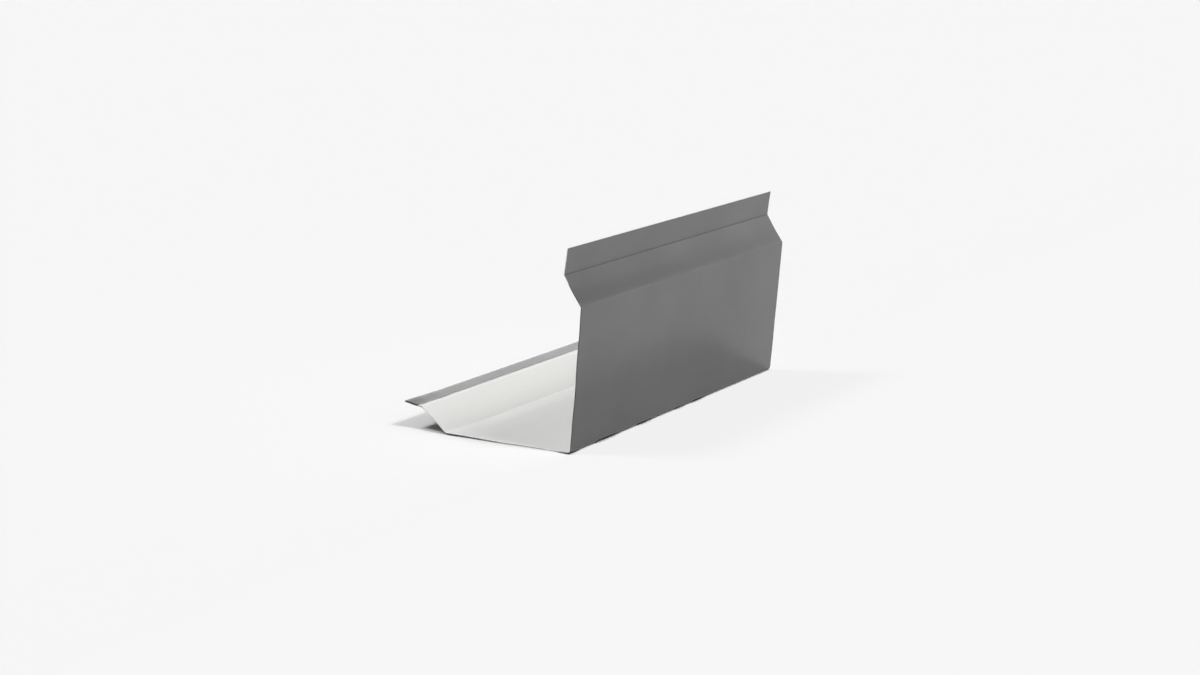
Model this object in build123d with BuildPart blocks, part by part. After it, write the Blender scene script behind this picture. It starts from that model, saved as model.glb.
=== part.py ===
"""Rake trim: one folded strip of painted sheet steel that closes the sloping edge of a metal roof.

The strip stands on its pan. +X is the outer wall's side and -X the lip's side, the bends run along Y,
and the origin lies on the floor under the middle of the bounding box.
"""

import os

from build123d import *

# Sheet and length
SHEET = 0.5
LENGTH = 300.0

# Widths of the flat legs, from one sharp corner of the sheet's mid-line to the next
PAN_WIDTH = 101.6
WALL_HEIGHT = 101.6
JOG_WIDTH = 24.6
FLANGE_WIDTH = 18.2
SLOPE_WIDTH = 26.0

# Lip and hem widths, measured from the outside of the fold
LIP_WIDTH = 14.6
HEM_WIDTH = 11.4
HEM_GAP = 0.3

# Angles of the legs in degrees: the pan's side from level, the wall's side from upright
SLOPE_RISE = 42.0
LIP_RISE = 4.5
WALL_LEAN_OUT = 5.0
JOG_LEAN_IN = 32.8
FLANGE_LEAN_OUT = 8.6

# Inside radii of the bends
BEND_RADIUS = 1.6
LIP_BEND_RADIUS = 3.5

# Sizes that follow from those above
bend_line_radius = BEND_RADIUS + SHEET / 2
lip_line_radius = LIP_BEND_RADIUS + SHEET / 2
fold_line_radius = (HEM_GAP + SHEET) / 2
fold_depth = fold_line_radius + SHEET / 2


def leg(width, heading):
    """The step along a leg of the section, with its heading in degrees up from +X."""
    return Vector(width, 0).rotate(Axis.Z, heading)


# Sharp corners of the section's mid-line, worked out both ways from the corner of pan and wall
corner = Vector(0, SHEET / 2)
wall_top = corner + leg(WALL_HEIGHT, 90 - WALL_LEAN_OUT)
flange_root = wall_top + leg(JOG_WIDTH, 90 + JOG_LEAN_IN)
flange_top = flange_root + leg(FLANGE_WIDTH, 90 - FLANGE_LEAN_OUT)
pan_edge = corner + leg(PAN_WIDTH, 180)
lip_root = pan_edge + leg(SLOPE_WIDTH, 180 - SLOPE_RISE)
lip_heading = 180 - LIP_RISE
fold_start = lip_root + leg(LIP_WIDTH - fold_depth, lip_heading)
sharp_bends = [pan_edge, corner, wall_top, flange_root]

# Section of the sheet: the mid-line, with the closed hem on the lip, given the sheet's thickness
with BuildSketch() as section:
    with BuildLine():
        FilletPolyline(
            fold_start,
            lip_root,
            *sharp_bends,
            flange_top,
            radius=[lip_line_radius] + [bend_line_radius] * len(sharp_bends),
        )
        fold = JernArc(fold_start, leg(1, lip_heading), fold_line_radius, -180)
        Line(fold @ 1, fold @ 1 + leg(HEM_WIDTH - fold_depth, lip_heading - 180))
    trace(line_width=SHEET)

# Rake trim: the section drawn out along Y, with its bounding box centred over the origin
section_middle = section.sketch.bounding_box().center().X
with BuildPart() as rake_trim:
    with BuildSketch(Plane(origin=(-section_middle, 0, 0), x_dir=(1, 0, 0), z_dir=(0, -1, 0))):
        add(section.sketch)
    extrude(amount=LENGTH / 2, both=True)
rake_trim.part.label = "rake_trim"

os.makedirs("parts", exist_ok=True)
export_step(rake_trim.part, "parts/rake_trim.step")
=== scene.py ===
import math

import bpy
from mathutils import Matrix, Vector


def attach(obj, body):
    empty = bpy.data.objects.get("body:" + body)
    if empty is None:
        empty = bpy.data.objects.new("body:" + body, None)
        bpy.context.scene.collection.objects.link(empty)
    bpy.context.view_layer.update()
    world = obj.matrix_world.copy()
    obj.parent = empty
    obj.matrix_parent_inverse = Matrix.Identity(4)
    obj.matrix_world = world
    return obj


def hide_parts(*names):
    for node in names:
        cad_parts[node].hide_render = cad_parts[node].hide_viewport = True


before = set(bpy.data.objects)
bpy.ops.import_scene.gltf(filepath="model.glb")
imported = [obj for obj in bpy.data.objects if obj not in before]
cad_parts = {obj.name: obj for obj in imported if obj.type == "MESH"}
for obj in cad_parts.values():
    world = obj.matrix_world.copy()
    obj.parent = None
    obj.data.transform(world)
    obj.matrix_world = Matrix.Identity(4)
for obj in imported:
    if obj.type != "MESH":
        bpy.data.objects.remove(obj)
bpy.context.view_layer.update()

# Folded strip
# The trim is one strip of thin coil-painted steel. A press brake folds it along its length into a lip with a
# closed hem, a slope, a pan, a wall, a jog and a flange, and snips cut both ends square.
MM = 0.001
SHEET = 0.5 * MM
LENGTH = 300 * MM
PAN_WIDTH = 101.6 * MM
WALL_HEIGHT = 101.6 * MM
JOG_WIDTH = 24.6 * MM
FLANGE_WIDTH = 18.2 * MM
SLOPE_WIDTH = 26 * MM
LIP_WIDTH = 14.6 * MM
HEM_WIDTH = 11.4 * MM
HEM_GAP = 0.3 * MM
SLOPE_RISE = 42
LIP_RISE = 4.5
WALL_LEAN_OUT = 5
JOG_LEAN_IN = 32.8
FLANGE_LEAN_OUT = 8.6
BEND_RADIUS = 1.6 * MM
LIP_BEND_RADIUS = 3.5 * MM
BEND_STEPS = 8
FOLD_STEPS = 10
MESH_CELL = 4 * MM
SAME_PLACE = 0.001 * MM
fold_radius = (HEM_GAP + SHEET) / 2
fold_depth = fold_radius + SHEET / 2


def leg(width, heading):
    """The step along a leg of the section, with its heading in degrees up from +X."""
    turn = math.radians(heading)
    return Vector((width * math.cos(turn), 0, width * math.sin(turn)))


corner = Vector((0, 0, SHEET / 2))
wall_top = corner + leg(WALL_HEIGHT, 90 - WALL_LEAN_OUT)
flange_root = wall_top + leg(JOG_WIDTH, 90 + JOG_LEAN_IN)
pan_edge = corner + leg(PAN_WIDTH, 180)
lip_root = pan_edge + leg(SLOPE_WIDTH, 180 - SLOPE_RISE)
lip_heading = 180 - LIP_RISE
fold_start = lip_root + leg(LIP_WIDTH - fold_depth, lip_heading)
fold_middle = fold_start + leg(fold_radius, lip_heading - 90)


def choose_edges(piece, wanted):
    """Selects only the edges of a piece whose two ends pass a test, in edit mode."""
    bpy.ops.object.mode_set(mode="EDIT")
    bpy.ops.mesh.select_mode(type="EDGE")
    bpy.ops.mesh.select_all(action="DESELECT")
    bpy.ops.object.mode_set(mode="OBJECT")
    points = piece.data.vertices
    for edge in piece.data.edges:
        start, end = (points[i].co for i in edge.vertices)
        edge.select = wanted(start, end)
    bpy.ops.object.mode_set(mode="EDIT")


def runs_along(place):
    """A test for the lengthwise edge at a place in the section."""
    def at_place(point):
        return math.hypot(point.x - place.x, point.z - place.z) < SAME_PLACE

    return lambda start, end: at_place(start) and at_place(end)


def draw_out(step):
    """Extrudes the selected edge by a step, which makes the next leg."""
    bpy.ops.mesh.extrude_region_move(TRANSFORM_OT_translate={"value": step})


bpy.ops.object.select_all(action="DESELECT")
bpy.ops.mesh.primitive_plane_add(size=1, location=(-PAN_WIDTH / 2, 0, SHEET / 2))
trim = bpy.context.object
trim.name = "folded_strip"
bpy.ops.object.mode_set(mode="EDIT")
bpy.ops.transform.resize(value=(PAN_WIDTH, LENGTH, 1))
bpy.ops.mesh.flip_normals()
bpy.ops.object.mode_set(mode="OBJECT")
bpy.ops.object.transform_apply(location=True, rotation=False, scale=False)

choose_edges(trim, runs_along(corner))
draw_out(leg(WALL_HEIGHT, 90 - WALL_LEAN_OUT))
draw_out(leg(JOG_WIDTH, 90 + JOG_LEAN_IN))
draw_out(leg(FLANGE_WIDTH, 90 - FLANGE_LEAN_OUT))
choose_edges(trim, runs_along(pan_edge))
draw_out(leg(SLOPE_WIDTH, 180 - SLOPE_RISE))
draw_out(leg(LIP_WIDTH - fold_depth, lip_heading))
bpy.ops.mesh.spin(steps=FOLD_STEPS, angle=math.pi, center=fold_middle, axis=(0, -1, 0))
draw_out(leg(HEM_WIDTH - fold_depth, lip_heading - 180))
bpy.ops.object.mode_set(mode="OBJECT")

bends = [
    (lip_root, SLOPE_RISE - LIP_RISE, LIP_BEND_RADIUS),
    (pan_edge, SLOPE_RISE, BEND_RADIUS),
    (corner, 90 - WALL_LEAN_OUT, BEND_RADIUS),
    (wall_top, WALL_LEAN_OUT + JOG_LEAN_IN, BEND_RADIUS),
    (flange_root, JOG_LEAN_IN + FLANGE_LEAN_OUT, BEND_RADIUS),
]
for place, turn, radius in bends:
    set_back = (radius + SHEET / 2) * math.tan(math.radians(turn) / 2)
    choose_edges(trim, runs_along(place))
    bpy.ops.mesh.bevel(offset=set_back, segments=BEND_STEPS, affect="EDGES")
choose_edges(trim, lambda start, end: abs(end.y - start.y) > MESH_CELL)
bpy.ops.mesh.subdivide(number_cuts=round(LENGTH / MESH_CELL) - 1)
halvings = math.ceil(math.log2(PAN_WIDTH / MESH_CELL))
for halving in range(halvings):
    choose_edges(trim, lambda start, end: math.hypot(end.x - start.x, end.z - start.z) > MESH_CELL)
    bpy.ops.mesh.subdivide()
bpy.ops.object.mode_set(mode="OBJECT")

# The section is centred over the floor's middle, as the solid is.
widths = [point.co.x for point in trim.data.vertices]
middle = Vector(((min(widths) + max(widths)) / 2, 0, 0))
bpy.ops.object.mode_set(mode="EDIT")
bpy.ops.mesh.select_all(action="SELECT")
bpy.ops.transform.translate(value=-middle)
bpy.ops.object.mode_set(mode="OBJECT")
for spot in (corner, wall_top, flange_root, pan_edge, lip_root, fold_start):
    spot -= middle

# Handling and the snips have sprung the thin sheet a little. The near end and places along the wall's foot
# stand off the floor, the broad faces carry shallow bulges, the jog is bowed, and the cuts wander a little.
UP = 90  # this and the next three are headings in the section, in degrees
OUT = 180
OUT_AND_DOWN = 245
DOWN = 270
JOG_BOW = -0.35 * MM
BITE_REACH = 22 * MM
near_end = -LENGTH / 2
far_end = LENGTH / 2
flange_top = flange_root + leg(FLANGE_WIDTH, 90 - FLANGE_LEAN_OUT)
fold_end = fold_start + leg(2 * fold_radius, lip_heading - 90)
hem_edge = fold_end + leg(HEM_WIDTH - fold_depth, lip_heading - 180)


def along(place, y):
    """A place of the section at a distance along the strip."""
    return Vector((place.x, y, place.z))


def press(piece, spots, step, reach):
    """Moves the points nearest some spots by a step, and what joins them within a reach by less and less."""
    bpy.ops.object.mode_set(mode="EDIT")
    bpy.ops.mesh.select_mode(type="VERT")
    bpy.ops.mesh.select_all(action="DESELECT")
    bpy.ops.object.mode_set(mode="OBJECT")
    for spot in spots:
        nearest = min(piece.data.vertices, key=lambda point: (point.co - spot).length)
        nearest.select = True
    bpy.ops.object.mode_set(mode="EDIT")
    bpy.ops.transform.translate(
        value=step,
        use_proportional_edit=True,
        use_proportional_connected=True,
        proportional_edit_falloff="SMOOTH",
        proportional_size=reach,
    )
    bpy.ops.object.mode_set(mode="OBJECT")


rows = round(LENGTH / MESH_CELL)
jog_middle = wall_top.lerp(flange_root, 0.5)
jog_line = [along(jog_middle, near_end + LENGTH * row / rows) for row in range(rows + 1)]
press(trim, jog_line, leg(JOG_BOW, JOG_LEAN_IN), JOG_WIDTH / 2)

# Each spring is a place in the section, the distances from the near end where it starts and stops, a step
# and a reach. The first two keep the hem's layers apart where the near end is lifted.
springs = [
    (lip_root.lerp(fold_start, 0.32), 8 * MM, 32 * MM, leg(0.32 * MM, DOWN), 9 * MM),
    (lip_root.lerp(fold_start, 0.545), 4 * MM, 36 * MM, leg(0.22 * MM, DOWN), 9 * MM),
    (pan_edge, 0, 0, leg(1.3 * MM, UP), 58 * MM),
    (corner.lerp(pan_edge, 0.4), 0, 0, leg(0.35 * MM, UP), 50 * MM),
    (corner, 0, 0, leg(0.5 * MM, UP), 14 * MM),
    (corner, 40 * MM, 56 * MM, leg(0.9 * MM, UP), 12 * MM),
    (corner, 96 * MM, 108 * MM, leg(0.7 * MM, UP), 12 * MM),
    (corner, 148 * MM, 152 * MM, leg(0.6 * MM, UP), 10 * MM),
    (corner, 176 * MM, 184 * MM, leg(0.6 * MM, UP), 10 * MM),
    (lip_root, 0, 0, leg(0.75 * MM, OUT_AND_DOWN), 15 * MM),
    (hem_edge, 0, 0, leg(0.8 * MM, OUT), 11 * MM),
    (fold_start, 0, 12 * MM, leg(0.3 * MM, UP), 11 * MM),
    (fold_start, 0, 32 * MM, leg(0.3 * MM, UP), 11 * MM),
]
for place, first, last, step, reach in springs:
    cells = round((last - first) / MESH_CELL)
    line = [along(place, near_end + first + MESH_CELL * cell) for cell in range(cells + 1)]
    press(trim, line, step, reach)

# Each bulge is a place in the section, a distance along the strip from its middle, a step and a reach.
wall_outward = leg(1, -WALL_LEAN_OUT)
bulges = [
    (corner.lerp(wall_top, 0.55), -70 * MM, 0.25 * MM * wall_outward, 45 * MM),
    (corner.lerp(wall_top, 0.40), 20 * MM, -0.25 * MM * wall_outward, 48 * MM),
    (corner.lerp(wall_top, 0.60), 95 * MM, 0.2 * MM * wall_outward, 40 * MM),
    (corner.lerp(pan_edge, 0.45), -60 * MM, leg(0.3 * MM, UP), 45 * MM),
    (corner.lerp(pan_edge, 0.55), 60 * MM, leg(0.3 * MM, UP), 45 * MM),
]
for place, y, step, reach in bulges:
    press(trim, [along(place, y)], step, reach)

# Each bite is a place in the section and how far the snips cut in there at the near and the far end.
bites = [
    (flange_top, 0.4 * MM, 0.4 * MM),
    (flange_root, 0.15 * MM, 0.15 * MM),
    (corner.lerp(wall_top, 0.82), 0.5 * MM, 0),
    (corner.lerp(wall_top, 0.42), 0.7 * MM, 0.2 * MM),
    (corner, 0, 0.6 * MM),
    (corner.lerp(pan_edge, 0.35), 0.3 * MM, 0.3 * MM),
    (corner.lerp(pan_edge, 0.8), 0.2 * MM, 0.2 * MM),
    (lip_root.lerp(pan_edge, 0.4), 0.25 * MM, 0.25 * MM),
]
for place, near_depth, far_depth in bites:
    press(trim, [along(place, near_end)], (0, near_depth, 0), BITE_REACH)
    press(trim, [along(place, far_end)], (0, -far_depth, 0), BITE_REACH)


def hex_colour(code):
    """Turns an sRGB hex colour to linear red, green, blue and alpha."""
    parts = [int(code[i:i + 2], 16) / 255 for i in (1, 3, 5)]
    return [c / 12.92 if c <= 0.04045 else ((c + 0.055) / 1.055) ** 2.4 for c in parts] + [1]


def add(tree, kind, inputs=None, **settings):
    """Adds a shader node to a tree, with its settings, and sets or links its inputs."""
    node = tree.nodes.new(kind)
    for name, value in settings.items():
        setattr(node, name, value)
    for name, value in (inputs or {}).items():
        if isinstance(value, bpy.types.NodeSocket):
            tree.links.new(value, node.inputs[name])
        else:
            node.inputs[name].default_value = value
    return node


def new_material(name):
    """A new node material with nothing in its tree yet."""
    material = bpy.data.materials.new(name)
    material.use_nodes = True
    material.node_tree.nodes.clear()
    return material


# Coil paint is rolled on flat and baked, so it is an even satin charcoal. Up close it has a faint orange
# peel and a slow drift in tone and gloss. The crease at the flange's root gets a dark line of painted shade.
MOTTLE_SIZE = 45 * MM
PEEL_SIZE = 2.5 * MM  # real peel is near 1 mm, drawn coarser so that it shows
PEEL_HEIGHT = 0.008 * MM
CREASE_SHADE_WIDTH = 0.9 * MM
charcoal = new_material("satin_coil_paint_charcoal")
tree = charcoal.node_tree
position = add(tree, "ShaderNodeTexCoord").outputs["Object"]
mottle = add(tree, "ShaderNodeTexNoise", {"Vector": position, "Scale": 1 / MOTTLE_SIZE, "Detail": 5.0})
tone = add(tree, "ShaderNodeMix", {
    0: mottle.outputs["Fac"],
    6: hex_colour("#555555"),
    7: hex_colour("#656565"),
}, data_type="RGBA")
in_section = add(tree, "ShaderNodeVectorMath", {0: position, 1: (1, 0, 1)}, operation="MULTIPLY")
from_crease = add(tree, "ShaderNodeVectorMath", {
    0: in_section.outputs[0],
    1: flange_root,
}, operation="DISTANCE")
# painted shade: a dark line in the paint's colour along the crease at the flange's root
flange_crease_shade = add(tree, "ShaderNodeMapRange", {
    "Value": from_crease.outputs["Value"],
    "From Min": CREASE_SHADE_WIDTH / 2,
    "From Max": CREASE_SHADE_WIDTH,
    "To Min": 1.0,
    "To Max": 0.0,
}, interpolation_type="SMOOTHSTEP")
paint = add(tree, "ShaderNodeMix", {
    0: flange_crease_shade.outputs[0],
    6: tone.outputs[2],
    7: hex_colour("#2c2c2c"),
}, data_type="RGBA")
gloss = add(tree, "ShaderNodeMapRange", {
    "Value": mottle.outputs["Fac"],
    "From Min": 0.3,
    "From Max": 0.7,
    "To Min": 0.24,
    "To Max": 0.18,
})
peel = add(tree, "ShaderNodeTexNoise", {"Vector": position, "Scale": 1 / PEEL_SIZE, "Detail": 1.0})
relief = add(tree, "ShaderNodeBump", {
    "Height": peel.outputs["Fac"],
    "Strength": 1.0,
    "Distance": PEEL_HEIGHT,
})
shader = add(tree, "ShaderNodeBsdfPrincipled", {
    "Base Color": paint.outputs[2],
    "Roughness": gloss.outputs[0],
    "IOR": 1.6,
    "Normal": relief.outputs[0],
})
add(tree, "ShaderNodeOutputMaterial", {"Surface": shader.outputs[0]})

# The backing coat is a thin off-white wash on the inside of the strip, flatter than the paint. The roller
# leaves faint streaks along the coil. The crease of pan and slope gets a fine line of painted shade.
STREAK_WIDTH = 2.5 * MM
STREAK_LENGTH = 90 * MM
CREASE_SHADE_SHARE = 0.2
backing = new_material("backing_coat_off_white")
tree = backing.node_tree
position = add(tree, "ShaderNodeTexCoord").outputs["Object"]
drawn_out = add(tree, "ShaderNodeVectorMath", {
    0: position,
    1: (1 / STREAK_WIDTH, 1 / STREAK_LENGTH, 1 / STREAK_WIDTH),
}, operation="MULTIPLY")
streaks = add(tree, "ShaderNodeTexNoise", {"Vector": drawn_out.outputs[0], "Scale": 1.0, "Detail": 3.0})
wash = add(tree, "ShaderNodeMix", {
    0: streaks.outputs["Fac"],
    6: hex_colour("#e4e4e2"),
    7: hex_colour("#eaeae8"),
}, data_type="RGBA")
in_section = add(tree, "ShaderNodeVectorMath", {0: position, 1: (1, 0, 1)}, operation="MULTIPLY")
from_crease = add(tree, "ShaderNodeVectorMath", {
    0: in_section.outputs[0],
    1: pan_edge,
}, operation="DISTANCE")
# painted shade: a fine darker line in the coat's colour along the crease of pan and slope
pan_crease_shade = add(tree, "ShaderNodeMapRange", {
    "Value": from_crease.outputs["Value"],
    "From Min": CREASE_SHADE_WIDTH / 2,
    "From Max": 2 * CREASE_SHADE_WIDTH,
    "To Min": CREASE_SHADE_SHARE,
    "To Max": 0.0,
}, interpolation_type="SMOOTHSTEP")
coat = add(tree, "ShaderNodeMix", {
    0: pan_crease_shade.outputs[0],
    6: wash.outputs[2],
    7: hex_colour("#d0d0ce"),
}, data_type="RGBA")
matt = add(tree, "ShaderNodeMapRange", {"Value": streaks.outputs["Fac"], "To Min": 0.5, "To Max": 0.38})
relief = add(tree, "ShaderNodeBump", {
    "Height": streaks.outputs["Fac"],
    "Strength": 1.0,
    "Distance": PEEL_HEIGHT,
})
shader = add(tree, "ShaderNodeBsdfPrincipled", {
    "Base Color": coat.outputs[2],
    "Roughness": matt.outputs[0],
    "IOR": 1.5,
    "Normal": relief.outputs[0],
})
add(tree, "ShaderNodeOutputMaterial", {"Surface": shader.outputs[0]})

# Slitting and the snips leave bare zinc-coated steel on the cut edges, bright with a fine torn grain. The
# cut ends of the hem, wall, jog and flange are painted near black, as painted shade of the hem's fold and
# those ends.
GRAIN_SIZE = 0.8 * MM  # the real tear is finer, drawn coarser so that it shows
END_SHADE_DEPTH = 2 * MM
bare_steel = new_material("sheared_galvanised_steel")
tree = bare_steel.node_tree
position = add(tree, "ShaderNodeTexCoord").outputs["Object"]
grain = add(tree, "ShaderNodeTexNoise", {"Vector": position, "Scale": 1 / GRAIN_SIZE, "Detail": 2.0})
torn = add(tree, "ShaderNodeMix", {
    0: grain.outputs["Fac"],
    6: hex_colour("#a4a6a8"),
    7: hex_colour("#d4d6d8"),
}, data_type="RGBA")
axes = add(tree, "ShaderNodeSeparateXYZ", {"Vector": position})
bright_middle = (lip_root.x + corner.x) / 2
bright_half = (corner.x - lip_root.x) / 2
from_middle = add(tree, "ShaderNodeMath", {0: axes.outputs["X"], 1: bright_middle}, operation="SUBTRACT")
to_either_side = add(tree, "ShaderNodeMath", {0: from_middle.outputs[0]}, operation="ABSOLUTE")
shaded_sides = add(tree, "ShaderNodeMapRange", {
    "Value": to_either_side.outputs[0],
    "From Min": bright_half - BEND_RADIUS,
    "From Max": bright_half,
})
along_strip = add(tree, "ShaderNodeMath", {0: axes.outputs["Y"]}, operation="ABSOLUTE")
at_end = add(tree, "ShaderNodeMapRange", {
    "Value": along_strip.outputs[0],
    "From Min": far_end - END_SHADE_DEPTH,
    "From Max": far_end - END_SHADE_DEPTH / 2,
})
# painted shade: the cut ends of the hem, wall, jog and flange turn near black
painted_end_shade = add(tree, "ShaderNodeMath", {0: shaded_sides.outputs[0], 1: at_end.outputs[0]}, operation="MULTIPLY")
edge = add(tree, "ShaderNodeMix", {
    0: painted_end_shade.outputs[0],
    6: torn.outputs[2],
    7: hex_colour("#282828"),
}, data_type="RGBA")
dull = add(tree, "ShaderNodeMapRange", {"Value": grain.outputs["Fac"], "To Min": 0.6, "To Max": 0.35})
shader = add(tree, "ShaderNodeBsdfPrincipled", {
    "Base Color": edge.outputs[2],
    "Metallic": 1.0,
    "Roughness": dull.outputs[0],
})
add(tree, "ShaderNodeOutputMaterial", {"Surface": shader.outputs[0]})

# The strip gets its thickness, with the backing coat on its inner face and bare steel on its cut edges.
SMOOTH_ANGLE = 30
for material in (charcoal, backing, bare_steel):
    trim.data.materials.append(material)
sheet = trim.modifiers.new("sheet", "SOLIDIFY")
sheet.thickness = SHEET
sheet.offset = 0
sheet.use_even_offset = True
sheet.material_offset = 1
sheet.material_offset_rim = 2
bpy.ops.object.modifier_apply(modifier="sheet")
bpy.ops.object.shade_smooth_by_angle(angle=math.radians(SMOOTH_ANGLE))
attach(trim, "root")
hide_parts("rake_trim")

# Floor
# A plain pale floor that runs out of view on all sides, so that it is the background too. It swells a little
# beside the near end of the lip, clear of the trim, and dips a little at places under the wall's foot.
# Camera rays see part of its full tone, so the wall's shadow stays faint and the lip's is lightened.
FLOOR_TONE = "#f7f7f7"
FLOOR_SIZE = 30
FINE_FLOOR = 0.6
FLOOR_CELL = 4 * MM
SWELL_HEIGHT = 1.6 * MM
SWELL_REACH = 40 * MM
HOLLOW_DEPTH = 0.8 * MM
HOLLOW_REACH = 12 * MM
HOLLOW_SET_BACK = 2 * MM
WALL_SIDE_SHARE = 0.84
LIP_SIDE_SHARE = 0.24
LIP_SIDE_FADE = 8 * MM
bpy.ops.object.select_all(action="DESELECT")
bpy.ops.mesh.primitive_plane_add(size=FLOOR_SIZE)
floor = bpy.context.object
floor.name = "floor"
bpy.ops.object.mode_set(mode="EDIT")
bpy.ops.mesh.inset(thickness=(FLOOR_SIZE - FINE_FLOOR) / 2)
bpy.ops.mesh.subdivide(number_cuts=round(FINE_FLOOR / FLOOR_CELL) - 1)
bpy.ops.object.mode_set(mode="OBJECT")
swell = [Vector((x * MM, y * MM, 0)) for x in (-72, -84, -96) for y in (-144, -128, -112)]
press(floor, swell, (0, 0, SWELL_HEIGHT), SWELL_REACH)
under_wall = (0, 4, 40, 44, 48, 52, 56, 98, 104, 151, 178, 184)
hollows = [Vector((corner.x - HOLLOW_SET_BACK, near_end + y * MM, 0)) for y in under_wall]
press(floor, hollows, (0, 0, -HOLLOW_DEPTH), HOLLOW_REACH)
bpy.ops.object.shade_smooth()
floor_white = new_material("matt_white_floor")
tree = floor_white.node_tree
position = add(tree, "ShaderNodeTexCoord").outputs["Object"]
axes = add(tree, "ShaderNodeSeparateXYZ", {"Vector": position})
wall_fade = add(tree, "ShaderNodeMapRange", {
    "Value": axes.outputs["X"],
    "From Min": corner.x - BEND_RADIUS / 2,
    "From Max": corner.x + BEND_RADIUS,
    "To Min": 0.0,
    "To Max": WALL_SIDE_SHARE,
}, interpolation_type="SMOOTHSTEP")
lip_fade = add(tree, "ShaderNodeMapRange", {
    "Value": axes.outputs["X"],
    "From Min": lip_root.x - LIP_SIDE_FADE,
    "From Max": lip_root.x,
    "To Min": LIP_SIDE_SHARE,
    "To Max": 0.0,
}, interpolation_type="SMOOTHSTEP")
both_sides = add(tree, "ShaderNodeMath", {
    0: wall_fade.outputs[0],
    1: lip_fade.outputs[0],
}, operation="MAXIMUM")
path = add(tree, "ShaderNodeLightPath")
share = add(tree, "ShaderNodeMath", {
    0: path.outputs["Is Camera Ray"],
    1: both_sides.outputs[0],
}, operation="MULTIPLY")
matt = add(tree, "ShaderNodeBsdfDiffuse", {"Color": hex_colour(FLOOR_TONE)})
glow = add(tree, "ShaderNodeEmission", {"Color": hex_colour(FLOOR_TONE), "Strength": 1.0})
both = add(tree, "ShaderNodeMixShader", {0: share.outputs[0], 1: matt.outputs[0], 2: glow.outputs[0]})
add(tree, "ShaderNodeOutputMaterial", {"Surface": both.outputs[0]})
floor.data.materials.append(floor_white)

# Light
# Two soft lamps shine in over the wall from the right and one from the left front, and a dim white dome
# fills the shadows. The paint mirrors a bright backdrop behind the trim, brighter on the left, and a dim
# ceiling above it.
LAMP_SPREAD = 12


def add_lamp(name, azimuth, elevation, level):
    """A far soft lamp that gives a share of the floor's light, from two angles in degrees."""
    data = bpy.data.lights.new(name, "SUN")
    data.angle = math.radians(LAMP_SPREAD)
    data.energy = level * math.pi / math.sin(math.radians(elevation))
    lamp = bpy.data.objects.new(name, data)
    lamp.rotation_euler = (math.radians(90 - elevation), 0, math.radians(azimuth))
    bpy.context.scene.collection.objects.link(lamp)


add_lamp("lamp_right", azimuth=90, elevation=54, level=0.279)
add_lamp("lamp_above", azimuth=95, elevation=60, level=0.14)
add_lamp("lamp_left", azimuth=-65, elevation=55.5, level=0.36)
SKY_LIGHT = 0.325
LEFT_BACKDROP = 1.42
RIGHT_BACKDROP = 1.15
CEILING_LIGHT = 0.45
SEEN_BACKDROP = 0.93
BACKDROP_LEFT = -0.3  # part along X of the direction in which the left backdrop starts to dim
BACKDROP_RIGHT = 0.2
BACKDROP_TOP = 19  # elevation in degrees at which the backdrop gives way to the ceiling
CEILING_EDGE = 25
world = bpy.data.worlds.new("white_studio")
bpy.context.scene.world = world
world.use_nodes = True
tree = world.node_tree
tree.nodes.clear()
path = add(tree, "ShaderNodeLightPath")
way = add(tree, "ShaderNodeTexCoord")
part = add(tree, "ShaderNodeSeparateXYZ", {"Vector": way.outputs["Generated"]})
fill = add(tree, "ShaderNodeMapRange", {"Value": part.outputs["Z"], "To Max": SKY_LIGHT})
horizon = add(tree, "ShaderNodeMapRange", {
    "Value": part.outputs["X"],
    "From Min": BACKDROP_LEFT,
    "From Max": BACKDROP_RIGHT,
    "To Min": LEFT_BACKDROP,
    "To Max": RIGHT_BACKDROP,
}, interpolation_type="SMOOTHSTEP")
backdrop = add(tree, "ShaderNodeMapRange", {
    "Value": part.outputs["Z"],
    "From Min": math.sin(math.radians(BACKDROP_TOP)),
    "From Max": math.sin(math.radians(CEILING_EDGE)),
    "To Min": horizon.outputs[0],
    "To Max": CEILING_LIGHT,
}, interpolation_type="SMOOTHSTEP")
mirrored = add(tree, "ShaderNodeMix", {
    0: path.outputs["Is Glossy Ray"],
    2: fill.outputs[0],
    3: backdrop.outputs[0],
})
seen = add(tree, "ShaderNodeMath", {
    0: path.outputs["Is Camera Ray"],
    1: path.outputs["Is Transmission Ray"],
}, operation="MAXIMUM")
strength = add(tree, "ShaderNodeMix", {0: seen.outputs[0], 2: mirrored.outputs[0], 3: SEEN_BACKDROP})
sky = add(tree, "ShaderNodeBackground", {"Color": hex_colour("#ffffff"), "Strength": strength.outputs[0]})
add(tree, "ShaderNodeOutputWorld", {"Surface": sky.outputs[0]})

# Camera
# A short telephoto view from in front and to the right, a little above the trim.
VIEW_AZIMUTH = 30.62
VIEW_ELEVATION = 11.98
FOCAL_LENGTH = 70.6
SENSOR_WIDTH = 36
CAMERA_PLACE = (862.1 * MM, -1460.3 * MM, 405.8 * MM)
camera_data = bpy.data.cameras.new("camera")
camera_data.lens = FOCAL_LENGTH
camera_data.sensor_width = SENSOR_WIDTH
camera = bpy.data.objects.new("camera", camera_data)
camera.location = CAMERA_PLACE
camera.rotation_euler = (math.radians(90 - VIEW_ELEVATION), 0, math.radians(VIEW_AZIMUTH))
bpy.context.scene.collection.objects.link(camera)
bpy.context.scene.camera = camera
bpy.context.scene.view_settings.view_transform = "Standard"
